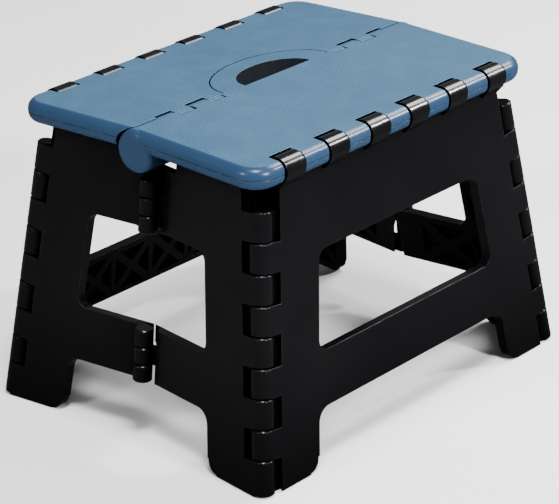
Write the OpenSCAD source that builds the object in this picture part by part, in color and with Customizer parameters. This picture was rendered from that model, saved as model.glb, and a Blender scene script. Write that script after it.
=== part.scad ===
// Folding step stool: two seat halves, two side panels and four end halves, all joined by
// knuckle hinges on pins. To fold it, the middle of the seat is lifted, the sides come
// together and the end halves fold inward. Every part is drawn where it sits on the open
// stool. Millimetres, Z up, origin on the floor under the centre of the seat.

/* [Seat] */
// height of the seat top above the floor, at its long edges
seat_height = 224; // [190:2:260]
// overall seat length
seat_length = 290; // [240:5:320]
// overall seat width
seat_width = 224; // [180:2:240]
// thickness of the seat halves
seat_thickness = 16; // [14:1:20]
// rise of each seat half towards the middle when the stool stands open
crown = 2; // [0.5:0.1:3]
// plan radius of the seat corners
seat_corner = 19; // [12:1:25]
// radius of the rounded seat edge
edge_round = 7; // [4:0.5:7.5]

/* [Frame] */
// half distance between the corner hinge axes along the stool, at the floor
base_x = 155.57; // [140:0.01:170]
// half distance between the corner hinge axes across the stool, at the floor
base_y = 120.44; // [105:0.01:130]
// lean of the corner hinges along the stool
lean_end = 8.1; // [6:0.1:10]
// lean of the side panels
lean_side = 6.3; // [5:0.1:8]
// fold of the end halves when the stool stands open
open_fold = 7; // [6.5:0.1:8]
// wall thickness of the outer skin
skin = 3; // [2.5:0.5:4]

/* [Hinges] */
// radius of the round centre hinge knuckles
centre_r = 15.7; // [14:0.1:18]
// radius of the long edge knuckles
edge_r = 9.1; // [7:0.1:10]
// radius of the corner knuckles, a hair more than the panel thickness
corner_r = 7.6; // [6:0.1:9]
// radius of the end fold knuckles
mid_r = 6.8; // [6:0.1:8]
// radius of the long hinge pins
pin_r = 2; // [1.5:0.1:2.5]
// radius of the short end fold pins
mid_pin_r = 1.5; // [1.2:0.1:2]
// radial play of a pin in its bore
pin_play = 0.05; // [0.02:0.01:0.1]

/* [Hidden] */
$fn = 96;
gap = 0.5;                                  // side gap between knuckles
edge_gap = 1.6;                             // the same between an edge knuckle and its slot
edge_inset = 8;                             // edge hinge axis below the top and inside the edge
edge_y = seat_width/2 - edge_inset;
edge_z = seat_height - edge_inset;
slab_z = seat_height - seat_thickness;      // underside of the seat, level with the centre hinge
hinge_drop = edge_z - slab_z;
panel_t = corner_r - 0.1;                   // panel thickness, inner face on the corner axis
pocket_r = centre_r + 1.1;                  // hollow round a centre knuckle
close_r = centre_r + 0.4;                   // the same towards the ends of the seat
close_from = 118;                           // where that closer hollow begins
knob_rim = 5;                               // rounded rim of the outer centre knuckles
edge_pocket_r = edge_r + 1.2;               // hollow round a long edge knuckle
slot_reach = 7;                             // long edge hinge to the inner wall of its slots

// each seat half is drawn level, then turned up by the crown about its long edge hinge
span = (edge_y - hinge_drop*sin(crown))/cos(crown);     // long edge hinge to centre hinge
level_width = 2*(span + edge_inset);
centre_z = edge_z + span*sin(crown) - hinge_drop*cos(crown);

// knuckle spans along the half length of the seat: [from, to]
front_knuckles = [[70.7, 86.8], [103, seat_length/2]];
rear_knuckles = [[58.3, 70.2], [87.3, 102.5]];
edge_knuckles = [20.8, 63.4, 107.5];        // centres of the long edge knuckles
edge_slot = 21.6;                           // width of a slot for one of them

// handle and hand hole, half ellipses [half length, depth]
handle = [54, 38];
hand_hole = [34, 24];
handle_gap = 1.1;

// seam round the seat edge: width and depth of the groove
seam = [0.6, 0.25];

// levels shared by the side panels and the end halves
arch_top = 42;
bar_top = 81;
window_top = 151;
panel_top = seat_height - 16.8;
notch_top = 196;                            // end halves under the round centre knuckles
notch_width = 21.5;                         // width of that notch
stile = 49;                                 // corner axis to window, along the panel
end_bar_cells = 98;                         // end of the rib cells in the bar of an end half
end_top_cells = 78;                         // end of the rib cells in its top
corner_top = 191;                           // top of the corner hinge
corner_count = 9;
corner_pitch = 20.8;                        // the lowest knuckle takes what is left
corner_clear = 13;                          // notch radius round the corner axis
floor_gap = 0.6;                            // foot above the floor beside its pad

// corner hinge axis of the near front corner
tan_x = tan(lean_end);
tan_y = tan(lean_side);
axis_scale = sqrt(1 + tan_x*tan_x + tan_y*tan_y);
corner_tilt = acos(1/axis_scale);
corner_turn = atan2(tan_y, tan_x);

// frame of an end half: turned by open_fold, leaning so that it holds the corner axis
end_lean = atan(tan_x*cos(open_fold) - tan_y*sin(open_fold));
end_shear = (tan_x*sin(open_fold) + tan_y*cos(open_fold))*cos(end_lean);
side_shear = tan_x*cos(lean_side);

// fold axis between two end halves, in the middle plane
mid_x = 149.93;
mid_lean = 6.18;
mid_clear = mid_r + 3.6;
mid_bore_r = 4.7;                           // loose bore that lets the closed loop move
mid_groups = [[43, 82], [151, 190]];        // lower and upper knuckle groups
mid_arms = [1.7, 3.6];                      // how far inward of the axis their arms lie

// ---------------------------------------------------------------- shared shapes

function unit(v) = v/norm(v);
function next_of(p, i) = p[(i + 1) % len(p)];
function prev_of(p, i) = p[(i + len(p) - 1) % len(p)];
function half_angle(p, i) = acos(unit(next_of(p, i) - p[i])*unit(prev_of(p, i) - p[i]))/2;
function corner_centre(p, i, r) =
    p[i] + unit(unit(next_of(p, i) - p[i]) + unit(prev_of(p, i) - p[i]))*r/sin(half_angle(p, i));
function tangents(p, r) = [for (i = [0:len(p) - 1]) each [
    p[i] + unit(prev_of(p, i) - p[i])*r/tan(half_angle(p, i)),
    p[i] + unit(next_of(p, i) - p[i])*r/tan(half_angle(p, i))]];

// convex polygon with true round corners
module round_polygon(p, r) {
    polygon(tangents(p, r));
    for (i = [0:len(p) - 1])
        translate(corner_centre(p, i, r)) circle(r);
}

// half ellipse on the rear side of the line y = 0, with a straight part in front of it
module half_ellipse(a, b, front) {
    polygon([for (i = [0:48]) [a*cos(180*i/48), b*sin(180*i/48)],
        [-a, -front], [a, -front]]);
}

// a rod along X
module rod_x(x0, x1, r) {
    translate([x0, 0, 0]) rotate([0, 90, 0]) cylinder(r = r, h = x1 - x0);
}

// the same with a rounded rim at x1
module knob_x(x0, x1, r, rim) {
    l = x1 - x0;
    translate([x0, 0, 0]) rotate([0, 90, 0]) rotate_extrude() {
        square([r, l - rim]);
        square([r - rim, l]);
        translate([r - rim, l - rim]) circle(rim);
    }
}

// hinge barrel with chamfered ends
module barrel(r, h) {
    c = 0.9;
    rotate_extrude() polygon([[0, 0], [r - c, 0], [r, c], [r, h - c], [r - c, h], [0, h]]);
}

module both_ends() {
    children();
    mirror([1, 0, 0]) children();
}

// ---------------------------------------------------------------- seat halves

// rounded bar section with its seam, width along X, thickness along Y
module bar_section(w) {
    r = edge_round;
    difference() {
        union() {
            translate([-w/2 + r, 0]) square([w - 2*r, seat_thickness]);
            translate([-w/2, r]) square([w, seat_thickness - 2*r]);
            for (x = [-w/2 + r, w/2 - r], y = [r, seat_thickness - r])
                translate([x, y]) circle(r);
        }
        for (x = [-w/2, w/2])
            translate([x - seam[1], seat_thickness/2 - seam[0]/2]) square([2*seam[1], seam[0]]);
    }
}

// right half of the same section, turned for the seat corners
module rim_section() {
    intersection() {
        bar_section(2*seat_corner);
        square([seat_corner, seat_thickness]);
    }
}

// the whole seat with rounded edges and corners, drawn level
module seat_slab() {
    cx = seat_length/2 - seat_corner;
    cy = level_width/2 - seat_corner;
    translate([0, 0, slab_z]) {
        translate([-cx, 0, 0]) rotate([90, 0, 90]) linear_extrude(2*cx) bar_section(level_width);
        translate([0, cy, 0]) rotate([90, 0, 0]) linear_extrude(2*cy) bar_section(seat_length);
        for (x = [-cx, cx], y = [-cy, cy])
            translate([x, y, 0]) rotate_extrude() rim_section();
    }
}

// slots for the long edge knuckles and the bore of the long pin, front edge
module edge_slots() {
    for (s = [-1, 1], c = edge_knuckles) {
        x0 = s*c - edge_slot/2;
        translate([0, -span, edge_z]) rod_x(x0, x0 + edge_slot, edge_pocket_r);
        translate([x0, -level_width/2 - 5, slab_z - 5])
            cube([edge_slot, edge_inset + 5 + slot_reach, seat_thickness + 10]);
    }
    translate([0, -span, edge_z])
        rod_x(-seat_length/2 + 12, seat_length/2 + 1, pin_r + pin_play);
}

// hollows between the ribs of the underside, front half: two rows of six, the middle four
// of the inner row start at row_start to leave room for the handle
module underside_cells(row_start) {
    pitch = 38;
    depth = 12;
    for (i = [-3:2]) {
        inner = abs(i + 0.5) < 2 ? row_start : 22;
        for (row = [[inner, 54], [57, 88]])
            translate([i*pitch + 1.5, -row[1], slab_z - 1])
                cube([pitch - 3, row[1] - row[0], depth + 1]);
    }
}

// fillet between an outer centre knuckle and the underside of the seat, front half
module knuckle_fillet() {
    f = 3;
    y = sqrt(centre_r*centre_r + 2*centre_r*f);
    t = centre_r/(centre_r + f);
    k = front_knuckles[1];
    translate([k[0], 0, slab_z]) rotate([90, 0, 90]) linear_extrude(k[1] - k[0] - knob_rim)
        difference() {
            polygon([[-8, 1], [-y, 1], [-y, -f], [-t*y, -t*f]]);
            translate([-y, -f]) circle(f);
        }
}

// turns what is drawn level up by the crown, front half and rear half
module crowned() {
    translate([0, -edge_y, edge_z]) rotate([crown, 0, 0]) translate([0, span, -edge_z]) children();
}

module crowned_rear() {
    mirror([0, 1, 0]) crowned() mirror([0, 1, 0]) children();
}

// handle tongue, flush with the rear half
module tongue() {
    intersection() {
        crowned_rear() translate([0, 0, slab_z]) linear_extrude(seat_thickness)
            half_ellipse(handle[0], handle[1], 4);
        crowned() translate([-seat_length/2, -10, slab_z]) cube([seat_length, 80, seat_thickness]);
    }
}

module seat_front() {
    color([0.43, 0.58, 0.76]) difference() {
        union() {
            intersection() {
                crowned() seat_slab();
                translate([-200, -200, 0]) cube([400, 200, 300]);
            }
            crowned() both_ends() {
                translate([0, 0, slab_z]) {
                    rod_x(front_knuckles[0][0], front_knuckles[0][1], centre_r);
                    knob_x(front_knuckles[1][0], front_knuckles[1][1], centre_r, knob_rim);
                }
                knuckle_fillet();
            }
            tongue();
        }
        crowned() {
            both_ends() for (k = rear_knuckles)
                translate([0, 0, slab_z]) rod_x(k[0] - gap, k[1] + gap, pocket_r);
            translate([0, 0, slab_z - 5]) linear_extrude(seat_thickness + 10)
                half_ellipse(hand_hole[0], hand_hole[1], 0.6);
            both_ends() translate([0, 0, slab_z]) rod_x(50, 132, pin_r + pin_play);
            edge_slots();
            underside_cells(22);
        }
    }
}

module seat_rear() {
    color([0.43, 0.58, 0.76]) difference() {
        union() {
            intersection() {
                crowned_rear() seat_slab();
                translate([-200, 0, 0]) cube([400, 200, 300]);
            }
            crowned_rear() both_ends() for (k = rear_knuckles)
                translate([0, 0, slab_z]) rod_x(k[0], k[1], centre_r);
        }
        crowned_rear() {
            both_ends() translate([0, 0, slab_z]) {
                rod_x(front_knuckles[0][0] - gap, front_knuckles[0][1] + gap + 1, pocket_r);
                rod_x(front_knuckles[1][0] - gap, close_from, pocket_r);
                rod_x(close_from - 1, seat_length/2 + 2, close_r);
            }
            translate([0, 0, slab_z - 20]) linear_extrude(seat_thickness + 40)
                half_ellipse(handle[0] + handle_gap, handle[1] + handle_gap, 20);
            both_ends() translate([0, 0, slab_z]) rod_x(50, 132, pin_r + pin_play);
            mirror([0, 1, 0]) edge_slots();
            mirror([0, 1, 0]) underside_cells(43);
        }
    }
}

// ---------------------------------------------------------------- corner hinge

module along_corner() {
    translate([-base_x, -base_y, 0]) rotate([0, corner_tilt, corner_turn]) children();
}

// lower and upper end of a corner knuckle along the axis, counted from the top
function knuckle_low(k) = k == corner_count - 1 ? 0 : (corner_top - (k + 1)*corner_pitch)*axis_scale;
function knuckle_high(k) = (corner_top - k*corner_pitch)*axis_scale;

// knuckles of the near front corner, first = 0 for the end half, 1 for the side panel
module corner_knuckles(first) {
    for (k = [first:2:corner_count - 1])
        along_corner() translate([0, 0, knuckle_low(k) + gap/2])
            barrel(corner_r, knuckle_high(k) - knuckle_low(k) - gap);
}

// the room that they need in the other panel
module corner_hollows(first, r) {
    for (k = [first:2:corner_count - 1])
        along_corner() translate([0, 0, knuckle_low(k) - gap/2 - 0.1])
            cylinder(r = r, h = knuckle_high(k) - knuckle_low(k) + gap + 0.2);
}

// what a panel leaves free round the corner axis: a wide notch in its outer part, so that
// the knuckle of the other panel stands clear, and a snug hollow behind it
module corner_notches(other) {
    corner_hollows(other, corner_r + 0.45);
    intersection() {
        corner_hollows(other, corner_clear);
        children();
    }
    along_corner() translate([0, 0, corner_top*axis_scale - 1]) cylinder(r = corner_clear, h = 40);
    along_corner() translate([0, 0, -30]) cylinder(r = corner_clear, h = 30);
}

// bore for the corner pin, open at the foot and closed at the top
module corner_bore() {
    along_corner() translate([0, 0, -10]) cylinder(r = pin_r + pin_play, h = corner_top*axis_scale + 7);
}

// ---------------------------------------------------------------- panel details

// a point at s from the leaning corner axis and at height z
function lean_point(s, z, shear) = [s + z*shear, z];

function shrink(p) = let (c = (p[0] + p[1] + p[2])/3) [for (q = p) c + 0.66*(q - c)];

// four triangular hollows that leave an X of ribs in the cell between four points
module x_cell(a, b, c, d) {
    m = (a + b + c + d)/4;
    for (t = [[a, b, m], [b, c, m], [c, d, m], [d, a, m]])
        polygon(shrink(t));
}

// row of cells between two levels, from s0 to s1 measured from the corner axis
module x_row(s0, s1, z0, z1, n, shear) {
    w = (s1 - s0)/n;
    for (i = [0:n - 1])
        x_cell(lean_point(s0 + i*w, z0, shear), lean_point(s0 + (i + 1)*w, z0, shear),
            lean_point(s0 + (i + 1)*w, z1, shear), lean_point(s0 + i*w, z1, shear));
}

// round the lower inner corner of a foot, p is the corner, the foot lies on its left
module foot_trim(p, r) {
    translate(p + [-r, -1]) difference() {
        square([r + 3, r + 1]);
        translate([0, r + 1]) circle(r);
    }
}

// stile ribs shared by both kinds of panel
module stile_cells(shear) {
    x_row(15, stile - 3, 5, arch_top, 1, shear);
    x_row(15, stile - 3, arch_top, bar_top, 1, shear);
    x_row(15, stile - 3, bar_top, (bar_top + window_top)/2, 1, shear);
    x_row(15, stile - 3, (bar_top + window_top)/2, window_top, 1, shear);
    x_row(15, stile - 3, window_top, panel_top - 3, 1, shear);
}

// block for a foot pad in the frame of a side panel, and in the frame of an end half
module side_pad_block(grow) {
    translate([16 - grow, -panel_t/2 - 2.2 - grow, -3]) cube([26 + 2*grow, 4.4 + 2*grow, 7 + grow]);
}

module end_pad_block(grow) {
    translate([-panel_t/2 - 2.2 - grow, 16 - grow, -3]) cube([4.4 + 2*grow, 26 + 2*grow, 7 + grow]);
}

// keeps what is above the floor
module on_floor() {
    intersection() {
        children();
        translate([-200, -200, 0]) cube([400, 400, 20]);
    }
}

// ---------------------------------------------------------------- side panels

module in_side_panel() {
    translate([-base_x, -base_y, 0]) rotate([-lean_side, 0, 0]) children();
}

// opening between two levels, between the two stiles
function side_opening(z0, z1) = let (l = 2*base_x, k = side_shear)
    [[stile + z0*k, z0], [l - stile - z0*k, z0], [l - stile - z1*k, z1], [stile + z1*k, z1]];

// outline in the plane of the panel, near end at the origin
module side_outline() {
    l = 2*base_x;
    k = side_shear;
    difference() {
        polygon([[0, -5], [l, -5], [l - panel_top*k, panel_top], [panel_top*k, panel_top]]);
        round_polygon(side_opening(bar_top, window_top), 8);
        round_polygon(side_opening(-40, arch_top), 11);
        foot_trim([stile, floor_gap], 9);
        translate([l, 0]) mirror([1, 0]) foot_trim([stile, floor_gap], 9);
    }
}

module side_ribs() {
    l = 2*base_x;
    k = side_shear;
    stile_cells(k);
    translate([l, 0]) mirror([1, 0]) stile_cells(k);
    s0 = stile + (arch_top + bar_top)/2*k;
    w = (l - 2*s0)/5;
    for (i = [0:4])
        x_cell([s0 + i*w, arch_top + 2], [s0 + (i + 1)*w, arch_top + 2],
            [s0 + (i + 1)*w, bar_top - 2], [s0 + i*w, bar_top - 2]);
    t0 = stile + window_top*k;
    v = (l - 2*t0)/4;
    for (i = [0:3])
        x_cell([t0 + i*v, window_top + 2], [t0 + (i + 1)*v, window_top + 2],
            [t0 + (i + 1)*v, panel_top - 5], [t0 + i*v, panel_top - 5]);
}

// long edge knuckle with its neck, centred on x
module edge_knuckle(x) {
    w = edge_slot - 2*edge_gap;
    dy = base_y - edge_y;
    in_side_panel() translate([base_x + x - w/2, 0, 0]) rotate([90, 0, 90]) linear_extrude(w) {
        translate([dy*cos(lean_side) - edge_z*sin(lean_side),
            dy*sin(lean_side) + edge_z*cos(lean_side)]) circle(edge_r);
        polygon([[0, panel_top - 6], [-0.6, panel_top], [-0.6, panel_top + 7.8], [-5, panel_top + 11.8],
            [-11, panel_top + 10.8], [-13.9, panel_top + 6.5], [-13.6, panel_top + 2],
            [-panel_t, panel_top - 3.5]]);
    }
}

module side_panel() {
    difference() {
        union() {
            difference() {
                in_side_panel() rotate([90, 0, 0]) linear_extrude(panel_t) side_outline();
                both_ends() corner_notches(0)
                    in_side_panel() translate([-20, -30, -20]) cube([60, 30 - panel_t/2, 260]);
                in_side_panel() translate([0, 1, 0]) rotate([90, 0, 0])
                    linear_extrude(panel_t - skin + 1) side_ribs();
            }
            both_ends() corner_knuckles(1);
            for (s = [-1, 1], c = edge_knuckles)
                edge_knuckle(s*c);
        }
        both_ends() corner_bore();
        translate([0, -edge_y, edge_z]) rod_x(-seat_length/2, seat_length/2, pin_r + pin_play);
        both_ends() in_side_panel() side_pad_block(0.1);
        translate([-200, -200, -50]) cube([400, 400, 50 + floor_gap]);
    }
}

module side_panel_front() {
    color([0.10, 0.10, 0.11]) side_panel();
}

module side_panel_rear() {
    color([0.10, 0.10, 0.11]) mirror([0, 1, 0]) side_panel();
}

// ---------------------------------------------------------------- end halves

module in_end_panel() {
    translate([-base_x, -base_y, 0]) rotate([0, end_lean, -open_fold]) children();
}

module along_mid() {
    translate([-mid_x, 0, 0]) rotate([0, mid_lean, 0]) children();
}

// outline in the plane of the panel, corner axis base at the origin, middle on the right
module end_outline() {
    k = end_shear;
    m = base_y/cos(open_fold) + 3;
    difference() {
        polygon([[0, -5], [m, -5], [m, notch_top], [m - notch_width, notch_top],
            [m - notch_width - 0.5, panel_top - 2], [panel_top*k, panel_top - 2]]);
        round_polygon([lean_point(stile, bar_top, k), [m + 30, bar_top], [m + 30, window_top],
            lean_point(stile, window_top, k)], 8);
        round_polygon([lean_point(stile, -40, k), [m + 30, -40], [m + 30, arch_top],
            lean_point(stile, arch_top, k)], 11);
        foot_trim([stile, floor_gap], 9);
    }
}

module end_ribs() {
    k = end_shear;
    stile_cells(k);
    x_row(stile - 3, end_bar_cells, arch_top + 2, bar_top - 2, 1, k*0.5);
    x_row(stile - 3, end_top_cells, window_top + 2, panel_top - 7, 1, k*0.5);
}

// knuckle i of fold group g, counted upward, with the arm that carries it on the front half
module mid_knuckle(g, i) {
    group = mid_groups[g];
    h = (group[1] - group[0])/3;
    along_mid() translate([0, 0, group[0] + i*h + gap/2]) {
        barrel(mid_r, h - gap);
        translate([mid_arms[g], -14, 0]) cube([5, 14, h - gap]);
    }
}

// a front end half; arms lists the knuckles it carries, bore_r is the hole for the fold pin
module end_half(arms, bore_r) {
    difference() {
        union() {
            difference() {
                in_end_panel() translate([-panel_t, 0, 0]) rotate([90, 0, 90])
                    linear_extrude(panel_t) end_outline();
                corner_notches(1)
                    in_end_panel() translate([-30, -20, -20]) cube([30 - panel_t/2, 60, 260]);
                in_end_panel() translate([-panel_t + skin, 0, 0]) rotate([90, 0, 90])
                    linear_extrude(panel_t) end_ribs();
                along_mid() translate([0, 0, -20]) cylinder(r = mid_clear, h = 260);
                translate([-250, -0.8, -20]) cube([250, 60, 260]);
            }
            corner_knuckles(0);
            for (g = [0, 1], i = arms)
                mid_knuckle(g, i);
        }
        corner_bore();
        for (g = mid_groups)
            along_mid() translate([0, 0, g[0] - 1]) cylinder(r = bore_r, h = g[1] - g[0] - 1);
        in_end_panel() end_pad_block(0.1);
        translate([-250, -200, -50]) cube([400, 400, 50 + floor_gap]);
    }
}

module end_half_near_front() {
    color([0.10, 0.10, 0.11]) end_half([1], mid_bore_r);
}

module end_half_near_rear() {
    color([0.10, 0.10, 0.11]) mirror([0, 1, 0]) end_half([0, 2], mid_pin_r + pin_play);
}

module end_half_far_front() {
    color([0.10, 0.10, 0.11]) mirror([1, 0, 0]) end_half([1], mid_bore_r);
}

module end_half_far_rear() {
    color([0.10, 0.10, 0.11]) mirror([1, 0, 0]) mirror([0, 1, 0])
        end_half([0, 2], mid_pin_r + pin_play);
}

// ---------------------------------------------------------------- pins and pads

module steel() {
    color([0.72, 0.73, 0.75]) children();
}

module edge_pin_front() {
    steel() translate([0, -edge_y, edge_z]) rod_x(-seat_length/2 + 13, seat_length/2 - 9, pin_r);
}

module edge_pin_rear() {
    steel() translate([0, edge_y, edge_z]) rod_x(-seat_length/2 + 13, seat_length/2 - 9, pin_r);
}

module centre_pin_near() {
    steel() translate([0, 0, centre_z]) rod_x(-131, -59, pin_r);
}

module centre_pin_far() {
    steel() translate([0, 0, centre_z]) rod_x(59, 131, pin_r);
}

module corner_pin() {
    steel() along_corner() translate([0, 0, 4]) cylinder(r = pin_r, h = corner_top*axis_scale - 8);
}

module corner_pin_near_front() {
    corner_pin();
}

module corner_pin_near_rear() {
    mirror([0, 1, 0]) corner_pin();
}

module corner_pin_far_front() {
    mirror([1, 0, 0]) corner_pin();
}

module corner_pin_far_rear() {
    mirror([1, 0, 0]) mirror([0, 1, 0]) corner_pin();
}

module fold_pin(group) {
    steel() along_mid() translate([0, 0, group[0] + 0.5])
        cylinder(r = mid_pin_r, h = group[1] - group[0] - 3);
}

module fold_pin_near_lower() {
    fold_pin(mid_groups[0]);
}

module fold_pin_near_upper() {
    fold_pin(mid_groups[1]);
}

module fold_pin_far_lower() {
    mirror([1, 0, 0]) fold_pin(mid_groups[0]);
}

module fold_pin_far_upper() {
    mirror([1, 0, 0]) fold_pin(mid_groups[1]);
}

module side_pad() {
    color([0.16, 0.16, 0.17]) on_floor() in_side_panel() side_pad_block(0);
}

module end_pad() {
    color([0.16, 0.16, 0.17]) on_floor() in_end_panel() end_pad_block(0);
}

module side_pad_near_front() {
    side_pad();
}

module side_pad_far_front() {
    mirror([1, 0, 0]) side_pad();
}

module side_pad_near_rear() {
    mirror([0, 1, 0]) side_pad();
}

module side_pad_far_rear() {
    mirror([1, 0, 0]) mirror([0, 1, 0]) side_pad();
}

module end_pad_near_front() {
    end_pad();
}

module end_pad_near_rear() {
    mirror([0, 1, 0]) end_pad();
}

module end_pad_far_front() {
    mirror([1, 0, 0]) end_pad();
}

module end_pad_far_rear() {
    mirror([1, 0, 0]) mirror([0, 1, 0]) end_pad();
}

// ---------------------------------------------------------------- choice of node

seat_front();
seat_rear();
side_panel_front();
side_panel_rear();
end_half_near_front();
end_half_near_rear();
end_half_far_front();
end_half_far_rear();
edge_pin_front();
edge_pin_rear();
centre_pin_near();
centre_pin_far();
corner_pin_near_front();
corner_pin_near_rear();
corner_pin_far_front();
corner_pin_far_rear();
fold_pin_near_lower();
fold_pin_near_upper();
fold_pin_far_lower();
fold_pin_far_upper();
side_pad_near_front();
side_pad_far_front();
side_pad_near_rear();
side_pad_far_rear();
end_pad_near_front();
end_pad_near_rear();
end_pad_far_front();
end_pad_far_rear();
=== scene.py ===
"""Looks of the folding step stool: materials, camera, light and floor.

The CAD nodes stay as they are and where they are. Each gets a procedural material; those of the
seat and the frame also round the shading of their sharp edges.
"""

import math

import bpy
from mathutils import Matrix, Vector


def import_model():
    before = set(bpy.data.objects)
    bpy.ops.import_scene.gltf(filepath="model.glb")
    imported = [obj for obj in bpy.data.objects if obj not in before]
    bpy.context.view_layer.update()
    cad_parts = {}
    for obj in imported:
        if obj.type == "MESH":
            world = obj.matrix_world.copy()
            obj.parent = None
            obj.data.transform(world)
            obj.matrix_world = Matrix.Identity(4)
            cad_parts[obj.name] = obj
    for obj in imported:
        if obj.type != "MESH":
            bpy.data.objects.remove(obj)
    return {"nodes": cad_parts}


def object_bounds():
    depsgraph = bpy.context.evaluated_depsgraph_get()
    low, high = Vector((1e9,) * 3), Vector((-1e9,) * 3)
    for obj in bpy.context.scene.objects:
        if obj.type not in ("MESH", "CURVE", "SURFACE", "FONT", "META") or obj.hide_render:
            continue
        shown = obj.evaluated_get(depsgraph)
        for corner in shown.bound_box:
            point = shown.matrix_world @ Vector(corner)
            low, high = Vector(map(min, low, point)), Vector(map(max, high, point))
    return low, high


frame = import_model()
cad_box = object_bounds()
nodes = frame["nodes"]

MM = 0.001
HAND_HOLE = (34 * MM, 24 * MM)  # half length and depth of the half ellipse cut through the seat
GRIP_WAVE = 5.2 * MM  # a diamond of the grip repeats twice in this length
REFRACTION = 1.46  # of both moulded plastics
FLOOR_HALF = 6.0


# ---------------------------------------------------------------- node material helper


class Builder:
    """Short names for the nodes of one material."""

    def __init__(self, name):
        self.material = bpy.data.materials.new(name)
        self.material.use_nodes = True
        self.tree = self.material.node_tree
        self.tree.nodes.clear()
        self.output = self.tree.nodes.new("ShaderNodeOutputMaterial")
        self.shader = self.tree.nodes.new("ShaderNodeBsdfPrincipled")
        self.link(self.shader.outputs[0], self.output.inputs[0])
        coordinates = self.tree.nodes.new("ShaderNodeTexCoord").outputs
        self.place, self.facing = coordinates["Object"], coordinates["Normal"]
        self.geometry = self.tree.nodes.new("ShaderNodeNewGeometry")

    def link(self, source, target):
        self.tree.links.new(source, target)

    def put(self, value, socket):
        """A socket gets a link from another socket, or a plain value."""
        if isinstance(value, bpy.types.NodeSocket):
            self.link(value, socket)
        else:
            socket.default_value = value

    def noise(self, scale, detail=2.0, rough=0.5, at=None):
        node = self.tree.nodes.new("ShaderNodeTexNoise")
        self.link(at or self.place, node.inputs["Vector"])
        node.inputs["Scale"].default_value = scale
        node.inputs["Detail"].default_value = detail
        node.inputs["Roughness"].default_value = rough
        return node.outputs[0]

    def math(self, operation, a, b=0.0, clamp=False):
        node = self.tree.nodes.new("ShaderNodeMath")
        node.operation = operation
        node.use_clamp = clamp
        self.put(a, node.inputs[0])
        self.put(b, node.inputs[1])
        return node.outputs[0]

    def span(self, value, low, high, to_low=0.0, to_high=1.0, smooth_painted_shade=False):
        """value from low to high becomes to_low to to_high, and stays there beyond."""
        node = self.tree.nodes.new("ShaderNodeMapRange")
        node.interpolation_type = "SMOOTHSTEP" if smooth_painted_shade else "LINEAR"
        self.link(value, node.inputs["Value"])
        for name, number in (
            ("From Min", low),
            ("From Max", high),
            ("To Min", to_low),
            ("To Max", to_high),
        ):
            node.inputs[name].default_value = number
        return node.outputs[0]

    def mix(self, share, a, b):
        node = self.tree.nodes.new("ShaderNodeMix")
        node.data_type = "RGBA"
        self.put(share, node.inputs[0])
        for value, socket in ((a, node.inputs[6]), (b, node.inputs[7])):
            self.put((*value, 1.0) if isinstance(value, tuple) else value, socket)
        return node.outputs[2]

    def split(self, vector):
        node = self.tree.nodes.new("ShaderNodeSeparateXYZ")
        self.link(vector, node.inputs[0])
        return node.outputs

    def inside_ellipse(self, x, y, half_sizes):
        """1 inside an upright ellipse round the origin and on its wall, 0 outside."""
        u = self.math("DIVIDE", x, half_sizes[0])
        v = self.math("DIVIDE", y, half_sizes[1])
        reach = self.math("ADD", self.math("MULTIPLY", u, u), self.math("MULTIPLY", v, v))
        return self.span(reach, 1.04, 1.09, 1.0, 0.0)

    def scaled(self, scale):
        """The object coordinates times a scale of their own along each axis."""
        node = self.tree.nodes.new("ShaderNodeVectorMath")
        node.operation = "MULTIPLY"
        self.link(self.place, node.inputs[0])
        node.inputs[1].default_value = scale
        return node.outputs[0]

    def rounded(self, radius):
        """A normal that turns smoothly over sharp edges."""
        node = self.tree.nodes.new("ShaderNodeBevel")
        node.samples = 8
        node.inputs["Radius"].default_value = radius
        return node.outputs[0]

    def bump(self, height, distance, strength=1.0, under=None):
        node = self.tree.nodes.new("ShaderNodeBump")
        self.link(height, node.inputs["Height"])
        node.inputs["Distance"].default_value = distance
        node.inputs["Strength"].default_value = strength
        if under is not None:
            self.link(under, node.inputs["Normal"])
        return node.outputs[0]

    def open_air(self, reach, low, high):
        """1 where the surface lies open, down to 0 deep in gaps and hollows."""
        node = self.tree.nodes.new("ShaderNodeAmbientOcclusion")
        node.samples = 8
        node.inputs["Distance"].default_value = reach
        return self.span(node.outputs["AO"], low, high)

    def worn_edge_and_glint(self, radius, share):
        """share along sharp edges, broken up by noise, and 0 elsewhere; the lighter edge colour it
        carries is partly wear and partly a painted glint.
        """
        node = self.tree.nodes.new("ShaderNodeVectorMath")
        node.operation = "DOT_PRODUCT"
        self.link(self.rounded(radius), node.inputs[0])
        self.link(self.geometry.outputs["True Normal"], node.inputs[1])
        edge = self.span(node.outputs["Value"], 0.99, 0.90, 0.0, share)
        return self.math("MULTIPLY", edge, self.span(self.noise(140.0, 3.0), 0.35, 0.65))

    def surface(self, **sockets):
        for name, value in sockets.items():
            self.put(value, self.shader.inputs[name.replace("_", " ")])
        return self.material


# ---------------------------------------------------------------- materials


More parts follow.
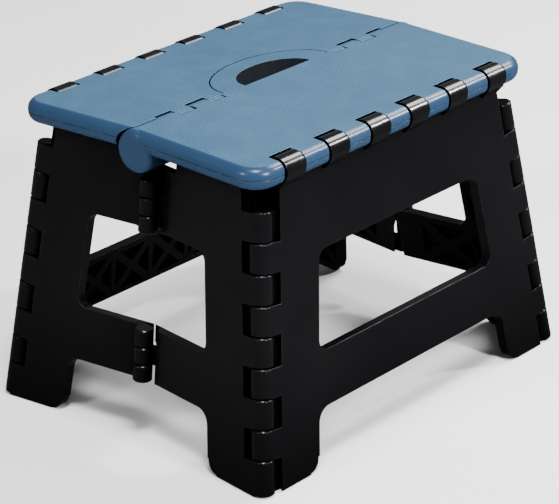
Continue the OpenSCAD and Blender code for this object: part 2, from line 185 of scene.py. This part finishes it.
def seat_plastic():
    """Blue-grey moulded plastic: fine diamond grip on the flat top, smoother elsewhere; painted
    shade on the sides, in gaps and in the hand hole, painted highlight on the raised diamonds.
    """
    m = Builder("seat_plastic")
    x, y = m.split(m.place)[:2]
    upward = m.split(m.facing)[2]
    top = m.span(upward, 0.940, 0.985)
    upright = m.span(upward, 0.6, 0.9, 1.0, 0.0)
    hole_wall = m.math("MULTIPLY", m.inside_ellipse(x, y, HAND_HOLE), upright)
    wave = 2 * math.pi / GRIP_WAVE
    one = m.math("SINE", m.math("MULTIPLY", m.math("ADD", x, y), wave))
    two = m.math("SINE", m.math("MULTIPLY", m.math("SUBTRACT", x, y), wave))
    diamond = m.math("MULTIPLY", m.math("MULTIPLY", one, two), top)
    patch = m.noise(9.0, 3.0)
    cloud = m.noise(55.0, 4.0, 0.6)
    grain = m.noise(2600.0, 2.0)
    flat = m.mix(m.span(patch, 0.3, 0.7), (0.021, 0.061, 0.110), (0.027, 0.072, 0.126))
    flat = m.mix(m.span(cloud, 0.42, 0.75, 0.0, 0.30), flat, (0.041, 0.098, 0.155))
    # Raised diamonds of the grip lighter: painted highlight on the relief.
    flat = m.mix(m.span(diamond, 0.0, 0.8, 0.0, 0.50), flat, (0.073, 0.155, 0.240))
    # The smooth sides get a darker copy of the top's blue: painted shade where less light falls.
    smooth_painted_shade = m.mix(m.span(patch, 0.3, 0.7), (0.012, 0.033, 0.072), (0.016, 0.041, 0.086))
    base = m.mix(top, smooth_painted_shade, flat)
    # Lighter edges: partly wear, partly a painted glint.
    base = m.mix(m.worn_edge_and_glint(0.8 * MM, 0.5), base, (0.08, 0.15, 0.23))
    # Painted shade: darker in gaps and hollows.
    base = m.mix(m.open_air(30 * MM, 0.50, 0.92), (0.002, 0.003, 0.005), base)
    # Painted shade: near black on the wall of the hand hole.
    base = m.mix(hole_wall, base, (0.010, 0.011, 0.014))
    rough = m.math("ADD", m.span(top, 0.0, 1.0, 0.27, 0.45), m.span(cloud, 0.3, 0.7, -0.04, 0.06))
    fine = m.bump(grain, 0.03 * MM, 0.5, m.rounded(0.5 * MM))
    relief = m.bump(diamond, 0.16 * MM, 1.0, fine)
    return m.surface(
        Base_Color=base, Roughness=rough, Normal=relief, IOR=REFRACTION, Specular_IOR_Level=0.30
    )


def frame_plastic():
    """Black semi-gloss plastic: fine grain, flow marks, greyer edges from wear and painted glint,
    painted shade and less gloss inside the stool.
    """
    m = Builder("frame_plastic")
    patch = m.noise(14.0, 4.0, 0.6)
    flow = m.noise(1.0, 3.0, 0.5, at=m.scaled((60.0, 60.0, 9.0)))
    grain = m.noise(1900.0, 2.0)
    base = m.mix(m.span(patch, 0.35, 0.7), (0.0018, 0.0018, 0.0023), (0.0030, 0.0029, 0.0035))
    # Greyer edges: partly wear, partly a painted glint.
    base = m.mix(m.worn_edge_and_glint(0.8 * MM, 0.6), base, (0.020, 0.024, 0.029))
    # Painted shade: darker colour and less gloss where the surface is enclosed inside the stool.
    air = m.open_air(150 * MM, 0.50, 0.90)
    base = m.mix(air, (0.0008, 0.0008, 0.0010), base)
    gloss = m.span(air, 0.0, 1.0, 0.06, 0.35)
    rough = m.math("ADD", m.span(flow, 0.3, 0.7, 0.18, 0.25), m.span(patch, 0.3, 0.7, -0.03, 0.04))
    fine = m.bump(grain, 0.02 * MM, 0.4, m.rounded(0.6 * MM))
    relief = m.bump(flow, 0.05 * MM, 0.1, fine)
    return m.surface(
        Base_Color=base, Roughness=rough, Normal=relief, IOR=REFRACTION, Specular_IOR_Level=gloss
    )


def pin_steel():
    """Drawn steel wire: streaks along the pin and faint spots."""
    m = Builder("pin_steel")
    streak = m.noise(1.0, 2.0, 0.5, at=m.scaled((300.0, 2600.0, 300.0)))
    spot = m.noise(420.0, 4.0, 0.65)
    base = m.mix(m.span(streak, 0.3, 0.7), (0.40, 0.41, 0.43), (0.56, 0.57, 0.59))
    base = m.mix(m.span(spot, 0.62, 0.75, 0.0, 0.5), base, (0.20, 0.17, 0.14))
    rough = m.span(streak, 0.3, 0.7, 0.24, 0.42)
    return m.surface(
        Base_Color=base, Roughness=rough, Normal=m.bump(streak, 0.02 * MM, 0.6), Metallic=1.0
    )


def pad_rubber():
    """Dull dark rubber, dusty in patches."""
    m = Builder("pad_rubber")
    dust = m.noise(160.0, 4.0, 0.6)
    grain = m.noise(2400.0, 2.0)
    base = m.mix(m.span(dust, 0.45, 0.75), (0.016, 0.016, 0.017), (0.060, 0.058, 0.055))
    rough = m.span(dust, 0.3, 0.7, 0.72, 0.88)
    relief = m.bump(grain, 0.06 * MM, 0.7)
    return m.surface(Base_Color=base, Roughness=rough, Normal=relief, Specular_IOR_Level=0.3)


# ---------------------------------------------------------------- nodes


seat, black = seat_plastic(), frame_plastic()
steel, rubber = pin_steel(), pad_rubber()
for name in sorted(nodes):
    if name.startswith("seat_"):
        material = seat
    elif name.startswith(("side_panel", "end_half")):
        material = black
    elif "_pin_" in name:
        material = steel
    else:
        material = rubber
    nodes[name].data.materials.clear()
    nodes[name].data.materials.append(material)


# ---------------------------------------------------------------- camera, light, floor


def camera(azimuth, elevation, roll, distance, target, lens, shift):
    """A camera at a distance from its target, angles in degrees, azimuth from the front."""
    data = bpy.data.cameras.new("camera")
    data.lens = lens
    data.sensor_width = 36.0
    data.shift_x, data.shift_y = shift
    data.clip_start, data.clip_end = 0.05, 50.0
    o = bpy.data.objects.new("camera", data)
    bpy.context.scene.collection.objects.link(o)
    a, e, tip = (math.radians(angle) for angle in (azimuth, elevation, roll))
    back = Vector((math.sin(a) * math.cos(e), -math.cos(a) * math.cos(e), math.sin(e)))
    right = Vector((0, 0, 1)).cross(back).normalized()
    up = back.cross(right)
    c, s = math.cos(tip), math.sin(tip)
    right, up = c * right + s * up, c * up - s * right
    turn = Matrix((right, up, back)).transposed().to_4x4()
    o.matrix_world = Matrix.Translation(Vector(target) + back * distance) @ turn
    bpy.context.scene.camera = o


def area_light(name, place, aim, size, power):
    """A rectangular light in watts at a place, turned to an aim."""
    data = bpy.data.lights.new(name, "AREA")
    data.shape = "RECTANGLE"
    data.size, data.size_y = size
    data.energy = power
    o = bpy.data.objects.new(name, data)
    bpy.context.scene.collection.objects.link(o)
    o.location = place
    o.rotation_euler = (Vector(aim) - Vector(place)).to_track_quat("-Z", "Y").to_euler()


def floor():
    """A plain pale floor under the feet, which shiny surfaces don't mirror."""
    mesh = bpy.data.meshes.new("floor")
    size, low = FLOOR_HALF, cad_box[0].z
    corners = [(-size, -size, low), (size, -size, low), (size, size, low), (-size, size, low)]
    mesh.from_pydata(corners, [], [(0, 1, 2, 3)])
    o = bpy.data.objects.new("floor", mesh)
    bpy.context.scene.collection.objects.link(o)
    m = Builder("floor_paint")
    tone = m.mix(m.span(m.noise(3.0), 0.3, 0.7), (0.86, 0.86, 0.86), (0.90, 0.90, 0.90))
    mesh.materials.append(m.surface(Base_Color=tone, Roughness=0.75, Specular_IOR_Level=0.2))
    o.visible_glossy = False


def world(colour, strength):
    """Even light from all sides."""
    w = bpy.data.worlds.new("world")
    w.use_nodes = True
    background = w.node_tree.nodes["Background"]
    background.inputs[0].default_value = (*colour, 1.0)
    background.inputs[1].default_value = strength
    bpy.context.scene.world = w


camera(
    azimuth=-47.91,
    elevation=23.10,
    roll=-1.26,
    distance=1.8310,
    target=(0, 0, 0.112),
    lens=164.03,
    shift=(-0.0008, -0.0507),
)
for name, place, aim_height, size, power in (
    ("left", (-2.0, 0.25, 1.35), 0.1, (0.3, 0.4), 22.0),
    ("right", (-0.1, -2.1, 1.35), 0.1, (0.3, 0.4), 72.0),
    ("top", (-0.45, -0.55, 2.1), 0.1, (0.5, 0.5), 60.0),
    ("edge", (1.5, -1.0, 1.3), 0.2, (0.16, 0.16), 40.0),
    ("sky", (1.4, -0.1, 1.6), 0.2, (0.7, 0.7), 45.0),
):
    area_light(name, place, (0, 0, aim_height), size, power)
floor()
world((0.97, 0.98, 1.0), 0.20)
